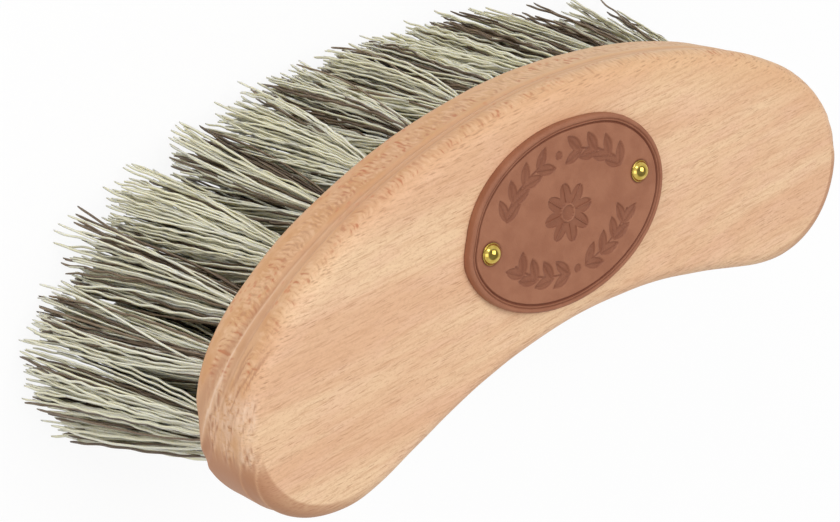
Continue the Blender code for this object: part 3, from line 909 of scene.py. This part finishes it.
def fibre_finish():
    """Crimped fibre, cream or dark brown, each fibre a little lighter or darker than the next."""
    shade = Shader("crimped_fibre", Roughness=0.45, Specular_IOR_Level=0.4, Subsurface_Weight=0.5)
    shade.surface.inputs["Subsurface Scale"].default_value = 0.0008
    shade.surface.inputs["Subsurface Radius"].default_value = (1.0, 0.9, 0.65)
    streak = shade.noise(shade.stretched(900, 900, 110), 2.0)
    own_shift = shade.math("MULTIPLY_ADD", shade.attribute("shift"), 0.8, -0.2)
    shift = shade.math("MULTIPLY_ADD", streak, 0.6, own_shift)
    cream = shade.blend(shift, tint(232, 227, 196), tint(252, 248, 226))
    dark = shade.blend(shift, tint(92, 75, 60), tint(140, 121, 101))
    return shade.finish(Base_Color=shade.blend(shade.attribute("dark"), cream, dark))


fibre_material = fibre_finish()
rng = np.random.default_rng(20)
quads = fibre_quads()
for node in sorted(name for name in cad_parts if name.startswith("tuft_row")):
    row, place_in_row = int(node[8]), int(node[-2:])
    is_dark_tuft = (row + place_in_row) % 2
    root, tip = tuft_root_and_tip(node)
    dark_share = dark_shares[is_dark_tuft] + darker_share * ramp(abs(root[0] - darker_middle), *darker_reach)
    dark_share *= 1 - corner_pale_share * in_left_corner(root)
    rings, is_dark = crimped_fibres(root, tip, dark_share, rng)
    tuft = mesh_piece(node.replace("tuft", "fibres"), rings.reshape(-1, 3), quads)
    point_values(tuft, "dark", np.repeat(is_dark, fibre_rings * 3))
    point_values(tuft, "shift", np.repeat(rng.uniform(0, 1, fibres_per_tuft), fibre_rings * 3))
    tuft.data.materials.append(fibre_material)
    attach(tuft, "root")
    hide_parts(node)


# The floor is a plain pale sweep that the brush stands on. To the eye it is almost white and keeps a
# faint shadow, as in a studio picture, and the light comes from large soft lamps and from pale walls.

floor_reach = 3.0
floor_drop = 0.0002
floor_glow = 0.9  # how much of the floor's look is plain white to the eye
plain_white = (1.0, 1.0, 1.0, 1.0)
lamps = (  # name, place, size and power
    ("key_lamp", (0.22, 0.41, 1.32), 0.8, 6.8),
    ("side_lamp", (-0.53, 1.15, 0.62), 0.45, 2.9),
    ("left_lamp", (-1.10, 0.15, 0.55), 0.60, 1.6),
)
air_level = 0.40
air_rise = 0.30
ceiling_heights = (0.48, 0.74)  # the dark ceiling begins and is fully there at these heights of the view ray
ceiling_shade = -0.7


def pale_sweep():
    """A flat floor. To the eye it is mostly plain white, with some of its lit and shadowed surface."""
    corners = np.array([[-1, -1, 0], [1, -1, 0], [1, 1, 0], [-1, 1, 0]]) * floor_reach - [0, 0, floor_drop]
    floor = mesh_piece("studio_floor", corners, np.array([[0, 1, 2, 3]]))
    shade = Shader("pale_floor", Roughness=0.9, Specular_IOR_Level=0.0, Base_Color=tint(250, 250, 250))
    glow = shade.node("Emission", {}, plain_white, 1.0)
    rays = shade.node("LightPath", {}).outputs
    share = shade.times(shade.math("MAXIMUM", rays["Is Camera Ray"], rays["Is Glossy Ray"]), floor_glow)
    seen = shade.node("MixShader", {}, share, shade.surface.outputs[0], glow.outputs[0])
    shade.feed(shade.tree.nodes["Material Output"].inputs[0], seen.outputs[0])
    floor.data.materials.append(shade.material)
    return floor


def pale_air():
    """The world: white to the eye, and in gloss white walls under a dark ceiling.

    As a light its strength is level + rise z.
    """
    world = bpy.data.worlds.new("studio_air")
    world.use_nodes = True
    air = Nodes(world.node_tree)
    up = air.node("SeparateXYZ", {}, air.node("TexCoord", {}).outputs["Object"]).outputs[2]
    light = air.tree.nodes["Background"]
    air.feed(light.inputs["Color"], plain_white)
    air.feed(light.inputs["Strength"], air.math("MULTIPLY_ADD", up, air_rise, air_level))
    rays = air.node("LightPath", {}).outputs
    smooth = {"interpolation_type": "SMOOTHSTEP"}
    ceiling = air.node("MapRange", smooth, up, *ceiling_heights, 0.0, ceiling_shade).outputs[0]
    glare = air.math("MULTIPLY_ADD", rays["Is Glossy Ray"], ceiling, 1.0)
    eye = air.node("Background", {}, plain_white, glare)
    seen = air.math("MAXIMUM", rays["Is Camera Ray"], rays["Is Glossy Ray"])
    mix = air.node("MixShader", {}, seen, light.outputs[0], eye.outputs[0])
    air.feed(air.tree.nodes["World Output"].inputs[0], mix.outputs[0])
    return world


pale_sweep()
bpy.context.scene.world = pale_air()
for name, spot, size, power in lamps:
    lamp = bpy.data.objects.new(name, bpy.data.lights.new(name, "AREA"))
    lamp.data.size = size
    lamp.data.energy = power
    lamp.location = spot
    lamp.rotation_euler = Vector(block_origin - np.array(spot)).to_track_quat("-Z", "Y").to_euler()
    bpy.context.scene.collection.objects.link(lamp)


# The camera looks down on the back from the left and from the convex side, rolled as in the photograph.
# Its turn, its place and its focal length were fitted to the block's outline, the badge and the nails.

view_turn = np.array([0.34297, 0.63701, 0.31695])  # the view's turn, as its axis times its angle
view_shift = np.array([0.0344629, 0.0125086, -0.4828804])  # the middle of the back, seen from the camera
focal_pixels = 2000.0
frame_pixels = 840.0


def photo_camera():
    """The camera. The view's turn is R = 1 + sin(a) K + (1 - cos(a)) K^2, and its place is -R^T shift."""
    angle = np.linalg.norm(view_turn)
    x, y, z = view_turn / angle
    cross = np.array([[0, -z, y], [z, 0, -x], [-y, x, 0]])
    turn = np.eye(3) + math.sin(angle) * cross + (1 - math.cos(angle)) * cross @ cross
    data = bpy.data.cameras.new("photo_camera")
    data.sensor_width = 36.0
    data.lens = data.sensor_width * focal_pixels / frame_pixels
    data.clip_start = 0.01
    camera = bpy.data.objects.new("photo_camera", data)
    bpy.context.scene.collection.objects.link(camera)
    matrix = np.eye(4)
    matrix[:3, :3] = turn.T
    matrix[:3, 3] = block_origin + [0, 0, thickness] - turn.T @ view_shift
    camera.matrix_world = Matrix(matrix.tolist())
    return camera


bpy.context.scene.camera = photo_camera()
bpy.context.scene.view_settings.view_transform = "Standard"
